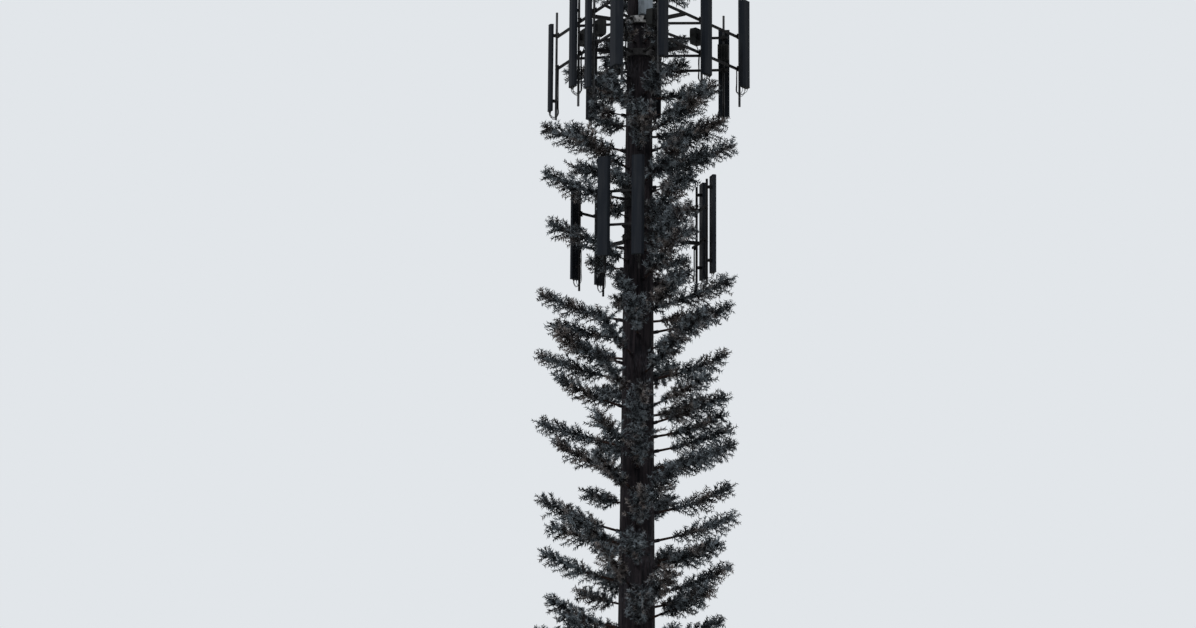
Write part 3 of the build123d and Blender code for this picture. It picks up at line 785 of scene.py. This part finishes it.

# %% [markdown]
# ## Colour of the needles
# The plastic is a dull dark green that the sun has greyed. Needles differ a little from one another.
# Their points are painted lighter, a painted highlight of the light on the tips, and tufts are painted
# lighter and darker, partly their own tone and partly painted light and shade of lit and shaded clumps.
# One colour would melt the fronds into one mass. So noise by place sets the tufts apart, and the two
# numbers that each needle carries set its tone and its painted highlight.

# %% Needle and limb colours
TUFTS, BROWN_PATCHES = 5.0, 1.3
GREEN_DARK, GREEN_LIGHT = shade(4, 6, 10), shade(100, 109, 116)
BROWN_DARK, BROWN_LIGHT = shade(10, 7, 8), shade(112, 99, 92)
# The pale colour of the needle points is a painted highlight
TIP_HIGHLIGHT = shade(150, 156, 162)
LIMB_STREAKS, LIMB_RELIEF = (20, 20, 20), 0.004


def make_needle_finish():
    finish = Finish("needle_foliage")
    tone = finish.add("ShaderNodeAttribute", output="Fac", attribute_name="tone")
    along = finish.add("ShaderNodeAttribute", output="Fac", attribute_name="along")
    # Tufts lighter and darker: partly their own tone, partly painted light and shade of lit and shaded
    # clumps
    tone_and_painted_shade = finish.noise(TUFTS, 2.0).ramp(0.46, 0.6) * 0.8 + tone * 0.2
    green = finish.colours(tone_and_painted_shade, GREEN_DARK, GREEN_LIGHT)
    brown = finish.colours(tone_and_painted_shade, BROWN_DARK, BROWN_LIGHT)
    patches = finish.noise(BROWN_PATCHES, 2.0).ramp(0.5, 0.62) * 0.7
    # Needle points painted lighter towards the tip: a painted highlight of the light on them
    painted_tip_highlight = along.ramp(0.3, 1.0) * tone_and_painted_shade * 0.35
    colour = finish.colours(painted_tip_highlight, finish.colours(patches, green, brown), TIP_HIGHLIGHT)
    return finish.close({"Base Color": colour, "Roughness": 0.6})


def make_limb_finish():
    finish = Finish("limb_paint")
    streaks = finish.noise(LIMB_STREAKS, 4.0)
    colour = finish.colours(streaks.ramp(0.4, 0.7), shade(24, 18, 17), shade(56, 42, 38))
    return finish.close({
        "Base Color": colour, "Roughness": 0.65, "Normal": finish.bumped(streaks, LIMB_RELIEF),
    })


brush = make_brush_tree(make_needle_finish(), make_limb_finish())
print("nodes in the brush", len(brush.tree.nodes))

# %% Growing the needles
def hand_over(piece, slot, *replaced):
    """Says that a piece rides with the tower and which nodes it stands for. The slot is not used."""
    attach(piece, "root")
    for node in replaced:
        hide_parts(node)
    print(piece.name, "triangles", sum(len(polygon.vertices) - 2 for polygon in piece.data.polygons))


for name, mesh in twigs.items():
    foliage = brush.use(mesh, name.replace("branches", "needled_branches"))
    hand_over(foliage, "needle_foliage", name)

# %% [markdown]
# ## Bolts and rods as node trees
# The rings are bolted together high on the tower. Each bolt could be an object of its own, but there
# are hundreds. So a hexagonal head with a threaded end serves for all: Geometry Nodes set it on a point,
# turn it along the point's own direction and give it the point's size. U-bolts, connectors and cables
# are rods swept along rounded lines.

# %% The bolt tree
BOLT_SIDES = 6
HEAD_RADIUS, THREAD_RADIUS = 0.5, 0.27


def prism(tree, radius, height):
    """A six-sided prism that stands on the origin."""
    made = tree.add("GeometryNodeMeshCylinder", {
        "Vertices": BOLT_SIDES, "Radius": radius, "Depth": height,
    }, fill_type="NGON")
    lift = tree.add("ShaderNodeCombineXYZ", {"Z": height * 0.5})
    return tree.add("GeometryNodeTransform", {"Geometry": made, "Translation": lift})


def make_bolt_tree(material):
    """Sets a bolt on every point. Its sizes are shares of the size that the point asks for."""
    tree = Tree("bolts", {"Head": 0.6, "Thread": 1.1})
    head = prism(tree, HEAD_RADIUS, tree.given["Head"])
    thread = prism(tree, THREAD_RADIUS, tree.given["Thread"])
    axis = tree.read("axis", "FLOAT_VECTOR")
    turned = tree.add("FunctionNodeAlignRotationToVector", {"Vector": axis}, axis="Z")
    placed = tree.add("GeometryNodeInstanceOnPoints", {
        "Points": tree.given["Geometry"], "Instance": tree.joined(head, thread),
        "Rotation": turned, "Scale": tree.read("across"),
    })
    tree.end(tree.finished(placed, material))
    return tree


def bolt_mesh(name, bolts):
    """Points for the bolt tree, each from its place, its direction and its size."""
    places, directions, sizes = zip(*bolts)
    return marked_mesh(name, places, [], axis=directions, across=sizes)


bolt_tree = make_bolt_tree(paints["dark_steel"])
print("nodes in the bolt tree", len(bolt_tree.tree.nodes))

# %% The rod tree
ROD_SIDES = 6


def make_rod_tree(material):
    """Rounds each line, divides it evenly and sweeps a rod along it."""
    tree = Tree("rods", {"Step": 0.02})
    curves = tree.add("GeometryNodeMeshToCurve", {"Mesh": tree.given["Geometry"]})
    rounded = tree.add("GeometryNodeCurveSplineType", {"Curve": curves}, spline_type="CATMULL_ROM")
    even = tree.add("GeometryNodeResampleCurve", {
        "Curve": rounded, "Length": tree.given["Step"],
    }, mode="LENGTH")
    tree.end(tree.swept(even, ROD_SIDES, material))
    return tree


def rod(points, radius):
    """A line for the rod tree, of one thickness and without needles."""
    return points, [radius] * len(points), [0.0] * len(points)


rod_tree, cable_tree = make_rod_tree(paints["dark_steel"]), make_rod_tree(paints["cable_black"])
print("nodes in the rod tree", len(rod_tree.tree.nodes))

# %% [markdown]
# ## U-bolts on the clamp plates
# A pipe is pressed on its clamp plate by two U-bolts that go round it and through the plate, with a nut
# on each leg. They could be bevelled curves, each set by hand. As swept lines placed from the corners
# of every plate, they cost a few faces each and follow both rings.

# %% U-bolts and nuts
PIPE_RADIUS = 0.03
U_BOLT_ROD = 0.006
U_BOLT_HALF_WIDTH = PIPE_RADIUS + U_BOLT_ROD
U_BOLT_RISE = 0.048
LEG_END, BEND_STEPS = 0.012, 8
NUT_ACROSS = 0.022


def u_bolt(plate, height):
    """One U-bolt at a height on a plate, as a rounded line, and the nuts behind the plate."""
    centre, leg_end = plate.far + PIPE_RADIUS, plate.near - LEG_END
    line = [plate.at(leg_end, plate.middle - U_BOLT_HALF_WIDTH, height)]
    for step in range(BEND_STEPS + 1):
        angle = math.pi * step / BEND_STEPS
        out = centre + U_BOLT_HALF_WIDTH * math.sin(angle)
        line.append(plate.at(out, plate.middle - U_BOLT_HALF_WIDTH * math.cos(angle), height))
    line.append(plate.at(leg_end, plate.middle + U_BOLT_HALF_WIDTH, height))
    legs = [plate.at(plate.near, plate.middle + hand * U_BOLT_HALF_WIDTH, height) for hand in (-1, 1)]
    return rod(line, U_BOLT_ROD), [(leg, -plate.out, NUT_ACROSS) for leg in legs]


bolts, rods = [], []
for plate in blocks("top_clamp_plates") + blocks("lower_clamp_plates"):
    for rise in (-U_BOLT_RISE, U_BOLT_RISE):
        line, nuts = u_bolt(plate, plate.waist + rise)
        rods.append(line)
        bolts += nuts
print("U-bolts", len(rods), "nuts", len(bolts))

# %% [markdown]
# ## Bolts on the collars, the sockets and the anchor plate
# A collar is drawn tight round the pole by bolts through its flats. A pin through each socket keeps the
# branch from turning, and twelve big nuts hold the anchor plate on its studs. Places typed in could
# part from the CAD. The solids' corners and the record's bolt circle give them, so that every bolt
# sits on what carries it.

# %% Bolts on the collars and the sockets
COLLAR_BOLT, COLLAR_BOLT_RISE, FLATS = 0.032, 0.055, 16
SOCKET_BOLT, SOCKET_SIDES, PIN_INSET = 0.03, 6, 0.035


def around(number, count):
    """The level direction to one of a count of places, evenly spaced round the pole."""
    angle = 2 * math.pi * number / count
    return np.array((math.cos(angle), math.sin(angle), 0))


def collar_bolts(corners):
    """Two bolts, one above the other, on each flat of a collar."""
    apothem = np.hypot(corners[:, 0], corners[:, 1]).max() * math.cos(math.pi / FLATS)
    waist = (corners[:, 2].min() + corners[:, 2].max()) / 2
    return [(around(flat, FLATS) * apothem + UP * (waist + rise), around(flat, FLATS), COLLAR_BOLT)
            for flat in range(FLATS) for rise in (-COLLAR_BOLT_RISE, COLLAR_BOLT_RISE)]


def socket_pins(corners):
    """A bolt head on each side of a six-sided socket, near its open end."""
    mouth = corners[np.argsort(np.hypot(corners[:, 0], corners[:, 1]))[-SOCKET_SIDES:]]
    along = unit(np.linalg.svd(corners - corners.mean(0))[2][0])
    along = along * np.sign(along @ (mouth.mean(0) * LEVEL))
    side = unit(np.cross(UP, along))
    face = np.linalg.norm(mouth - mouth.mean(0), axis=1).mean() * math.cos(math.pi / SOCKET_SIDES)
    middle = mouth.mean(0) - PIN_INSET * along
    return [(middle + side * hand * face, side * hand, SOCKET_BOLT) for hand in (-1, 1)]


for corners, _ in islands("top_collars") + islands("lower_collars"):
    bolts += collar_bolts(corners)
for node in nodes:
    if node.endswith("branch_sockets"):
        for corners, _ in islands(node):
            bolts += socket_pins(corners)
print("bolts so far", len(bolts))

# %% Anchor studs and nuts
ANCHOR_NUT = 0.095
STUD_CLEARANCE, STUD_FOOT, STUD_ABOVE = 0.004, 0.001, 0.12
MILLIMETRES = 1000

anchors = next(mount["dims"] for mount in frame["record"]["mounts"] if mount["kind"] == "bolt_pattern")
circle = anchors["pcd_mm"] / MILLIMETRES / 2
stud_radius = anchors["hole_r_mm"] / MILLIMETRES - STUD_CLEARANCE
plate_top = max(corners[:, 2].max() for corners, _ in islands("base_plate"))
for number in range(anchors["count"]):
    foot = around(number, anchors["count"]) * circle
    bolts.append((foot + UP * plate_top, UP, ANCHOR_NUT))
    rods.append(rod([foot + UP * STUD_FOOT, foot + UP * (plate_top + STUD_ABOVE)], stud_radius))
hand_over(bolt_tree.use(bolt_mesh("bolt_points", bolts), "bolts_and_nuts"), "mount_paint")
hand_over(rod_tree.use(polyline_mesh("rod_lines", rods), "u_bolts_and_studs", Step=0.02), "mount_paint")

# %% [markdown]
# ## Ends of the antennas
# A panel antenna is a plastic shell closed by a cap at each end. A scaled box would miss the shell's
# rounded front. So each cap takes the corners of the antenna's own lower end, a little wider, and
# closes them into a thin plate.

# %% End caps
CAP_THICKNESS, CAP_MARGIN, END_BAND = 0.014, 0.004, 0.001


def antennas_of(ring):
    """All antennas of the top or the lower ring."""
    named = sorted(node for node in nodes if node.startswith(ring) and node.endswith("antennas"))
    return [antenna for node in named for antenna in blocks(node)]


def footprint(block):
    """The corners of a block's lower end, in turn round its middle, and that middle."""
    ring = block.corners[block.corners[:, 2] < block.low + END_BAND]
    middle = ring.mean(0)
    return ring[np.argsort(np.arctan2(ring[:, 1] - middle[1], ring[:, 0] - middle[0]))], middle


def add_cap(shape, block, bottom):
    """A closed plate with the block's outline, wider by the margin, from a height upwards."""
    ring, middle = footprint(block)
    lower = []
    for corner in ring:
        aside = (corner - middle) * LEVEL
        aside = aside * (1 + CAP_MARGIN / np.linalg.norm(aside))
        lower.append(shape.verts.new((middle[0] + aside[0], middle[1] + aside[1], bottom)))
    upper = [shape.verts.new(vertex.co + Vector((0, 0, CAP_THICKNESS))) for vertex in lower]
    shape.faces.new(lower[::-1])
    shape.faces.new(upper)
    for index, vertex in enumerate(lower):
        after = (index + 1) % len(lower)
        shape.faces.new((vertex, lower[after], upper[after], upper[index]))


def plain_object(name, shape, material):
    """An object from a bmesh, which is freed."""
    mesh = bpy.data.meshes.new(name)
    shape.to_mesh(mesh)
    shape.free()
    mesh.materials.append(material)
    return new_object(name, mesh)


caps = bmesh.new()
for antenna in antennas_of("top") + antennas_of("lower"):
    add_cap(caps, antenna, antenna.low - CAP_MARGIN)
    add_cap(caps, antenna, antenna.high - CAP_THICKNESS + CAP_MARGIN)
hand_over(plain_object("antenna_end_caps", caps, paints["cap_plastic"]), "antenna_paint")

# %% [markdown]
# ## Connectors and jumper cables
# Connectors stand on the lower cap, and a short jumper cable hangs from each one, swings in to the pipe
# and climbs to the radio or the rail. A simulated rope hangs well, but takes long and may end anywhere.
# A few listed points, set off from the antenna's corners and shared by all cables, give the
# same soft bend with both ends in something.

# %% The way of a jumper cable
CONNECTOR_RADIUS, CABLE_RADIUS = 0.014, 0.0075
CONNECTOR_ENDS, CONNECTOR_SPREAD, CONNECTOR_ROWS = (0.005, -0.05), 0.62, (0.35, 0.65)
PIPE_BEHIND, BUNDLE_WIDTH = 0.11, 0.036
BEHIND_PIPE, LAYER_STEP = 0.07, 0.018
DROP, DROP_STEP = 0.17, 0.035
CLIMB_FROM, CLIMB_SHARES, CLIMB_SPREAD = 0.15, (0.35, 0.65, 1.0), 0.006
INTO_RADIO = 0.01
SAME_FACE, BESIDE = 0.99, 0.1


def goal_of(antenna, radios, rails):
    """The radio behind an antenna, if it has one, and the height where its cables end."""
    for radio in radios:
        if radio.out @ antenna.out > SAME_FACE and abs(radio.middle - antenna.middle) < BESIDE:
            return radio, radio.low
    return None, min(rail.low for rail in rails if rail.out @ antenna.out > SAME_FACE)


def jumper(antenna, number, count, radio, goal):
    """One connector under an antenna, and its cable that hangs down and climbs behind the pipe."""
    share = (number + 0.5) / count - 0.5
    start = antenna.middle + CONNECTOR_SPREAD * (antenna.left - antenna.right) * share
    out = antenna.near + CONNECTOR_ROWS[number % 2] * (antenna.far - antenna.near)
    connector = [antenna.at(out, start, antenna.low + end) for end in CONNECTOR_ENDS]
    pipe = antenna.near - PIPE_BEHIND
    drop = DROP + DROP_STEP * (number % 3)
    beside = antenna.middle + BUNDLE_WIDTH * share
    behind = pipe - BEHIND_PIPE - LAYER_STEP * (number % 2)
    climb_foot = antenna.low + CLIMB_FROM
    line = [
        antenna.at(out, start, antenna.low - 0.045),
        antenna.at(out - 0.01, start * 0.9 + beside * 0.1, antenna.low - 0.6 * drop),
        antenna.at((out + pipe) / 2 - 0.02, (start + beside) / 2, antenna.low - drop),
        antenna.at(behind, beside * 0.8 + start * 0.2, antenna.low - 0.45 * drop),
        antenna.at(behind, beside, climb_foot),
    ]
    for climbed in CLIMB_SHARES:
        place = beside + chance.normal(0, CLIMB_SPREAD)
        line.append(antenna.at(behind, place, climb_foot + climbed * (goal - climb_foot)))
    if radio:
        line[-1] = antenna.at((radio.near + radio.far) / 2, beside, goal + INTO_RADIO)
    return rod(connector, CONNECTOR_RADIUS), rod(line, CABLE_RADIUS)


print("points along the climb", len(CLIMB_SHARES))

# %% Connectors and jumper cables
connectors, cables = [], []
for ring, count, radios in (("top", 4, blocks("top_radios")), ("lower", 3, [])):
    rails = blocks(ring + "_rails")
    for antenna in antennas_of(ring):
        radio, goal = goal_of(antenna, radios, rails)
        for number in range(count):
            connector, cable = jumper(antenna, number, count, radio, goal)
            connectors.append(connector)
            cables.append(cable)
connector_lines = polyline_mesh("connector_lines", connectors)
hand_over(rod_tree.use(connector_lines, "antenna_connectors", Step=0.06), "mount_paint")
cable_lines = polyline_mesh("cable_lines", cables)
hand_over(cable_tree.use(cable_lines, "jumper_cables", Step=0.05), "mount_paint")

# %% [markdown]
# ## Fins on the radios and the door of the box
# A radio unit has no fan: cast fins along its back, rooted in the grooves of the housing, carry the
# heat away. The light-grey box is a sheet steel cabinet whose folded door stands a little proud, hung
# on hinges and closed by a latch. A bump could draw them, but would leave the outline flat. So they are
# slabs, each between two depths, two sides and two heights of the solid that carries it.

# %% Cooling fins
FIN_COUNT, FIN_DEPTH, FIN_ROOT, FIN_THICKNESS = 9, 0.018, 0.03, 0.006
FIN_END_SHARE = 0.1


def span(middle, size):
    """The two ends of a size round its middle."""
    return middle - size / 2, middle + size / 2


def add_slab(shape, block, depths, sides, heights):
    """A closed box between two distances out, two places along the face and two heights."""
    spans = np.array([depths, sides, heights])
    size = spans[:, 1] - spans[:, 0]
    matrix = Matrix(np.column_stack([block.out * size[0], block.side * size[1], UP * size[2]]).tolist())
    matrix = matrix.to_4x4()
    matrix.translation = block.at(*spans.mean(1))
    bmesh.ops.create_cube(shape, size=1, matrix=matrix)


fins = bmesh.new()
for radio in blocks("top_radios"):
    end = FIN_END_SHARE * (radio.high - radio.low)
    for number in range(FIN_COUNT):
        place = radio.right + (number + 0.5) / FIN_COUNT * (radio.left - radio.right)
        add_slab(fins, radio, (radio.near - FIN_DEPTH, radio.near + FIN_ROOT),
                 span(place, FIN_THICKNESS), (radio.low + end, radio.high - end))
hand_over(plain_object("radio_fins", fins, paints["radio_housing"]), "radio_housing")

# %% Door, hinges and latch
DOOR_MARGIN, DOOR_DEPTH, ROOT = 0.018, 0.006, 0.001
HINGE_DEPTH, HINGE_WIDTH, HINGE_HEIGHT = 0.014, 0.016, 0.06
HINGE_SHARES = (0.15, 0.5, 0.85)
LATCH_INSET, LATCH_DEPTH, LATCH_HEIGHT = 2.5 * DOOR_MARGIN, 2 * HINGE_DEPTH, 2 * HINGE_HEIGHT

fittings = bmesh.new()
corners = islands("junction_box")[0][0]
box = Block(corners, corners.mean(0))
add_slab(fittings, box, (box.far - ROOT, box.far + DOOR_DEPTH),
         (box.right + DOOR_MARGIN, box.left - DOOR_MARGIN),
         (box.low + DOOR_MARGIN, box.high - DOOR_MARGIN))
for share in HINGE_SHARES:
    height = box.low + share * (box.high - box.low)
    add_slab(fittings, box, (box.far - ROOT, box.far + HINGE_DEPTH),
             span(box.left - DOOR_MARGIN, HINGE_WIDTH), span(height, HINGE_HEIGHT))
add_slab(fittings, box, (box.far, box.far + LATCH_DEPTH),
         span(box.right + LATCH_INSET, HINGE_WIDTH), span(box.waist, LATCH_HEIGHT))
hand_over(plain_object("box_door_and_hinges", fittings, paints["light_grey_box"]), "light_grey_box")

# %% [markdown]
# ## Floor, light and background
# The real tower stands in daylight. One hard sun would turn a side of the dark needles black. So one
# broad sun from the viewer's left, a faint second one and a soft sky from all round show colours about
# as they are written, and a plain pale floor and background keep the eye on the tower.

# %% Floor and light
FLOOR_REACH = 400
FLOOR_COLOUR, SKY_COLOUR, WHITE = shade(226, 226, 224), shade(226, 230, 234), (1, 1, 1, 1)


def make_floor():
    corners = [(across * FLOOR_REACH, along * FLOOR_REACH, 0)
               for across, along in ((-1, -1), (1, -1), (1, 1), (-1, 1))]
    mesh = bpy.data.meshes.new("pale_floor")
    mesh.from_pydata(corners, [], [(0, 1, 2, 3)])
    mesh.materials.append(Finish("pale_floor").close({"Base Color": FLOOR_COLOUR, "Roughness": 0.9}))
    new_object("pale_floor", mesh)


def make_sun(name, strength, azimuth, elevation, softness):
    """A sun whose light comes from an azimuth and an elevation, in degrees."""
    data = bpy.data.lights.new(name, "SUN")
    data.energy = strength
    data.angle = math.radians(softness)
    turn, climb = math.radians(azimuth), math.radians(elevation)
    sun = new_object(name, data)
    sun.rotation_mode = "QUATERNION"
    towards_sun = Vector((math.cos(turn), math.sin(turn), math.tan(climb)))
    sun.rotation_quaternion = towards_sun.to_track_quat("Z", "Y")


def make_sky(strength):
    """White light from all round, where the camera, gloss and glass see the pale colour instead."""
    world = bpy.data.worlds.new("soft_sky")
    world.use_nodes = True
    sky = Nodes(world.node_tree)
    sky.tree.nodes.clear()
    seen = sum(sky.add("ShaderNodeLightPath", output="Is " + kind + " Ray")
               for kind in ("Camera", "Glossy", "Transmission"))
    light = sky.add("ShaderNodeBackground", {"Color": WHITE, "Strength": strength})
    shown = sky.add("ShaderNodeBackground", {"Color": SKY_COLOUR})
    mixed = sky.add("ShaderNodeMixShader", {0: seen, 1: light, 2: shown})
    sky.add("ShaderNodeOutputWorld", {"Surface": mixed})
    bpy.context.scene.world = world


make_floor()
make_sun("key_sun", 2.0, 235, 40, 12)
make_sun("fill_sun", 0.5, 330, 25, 40)
make_sky(0.55)
bpy.context.scene.view_settings.view_transform = "Standard"
print("floor, two suns and a sky")
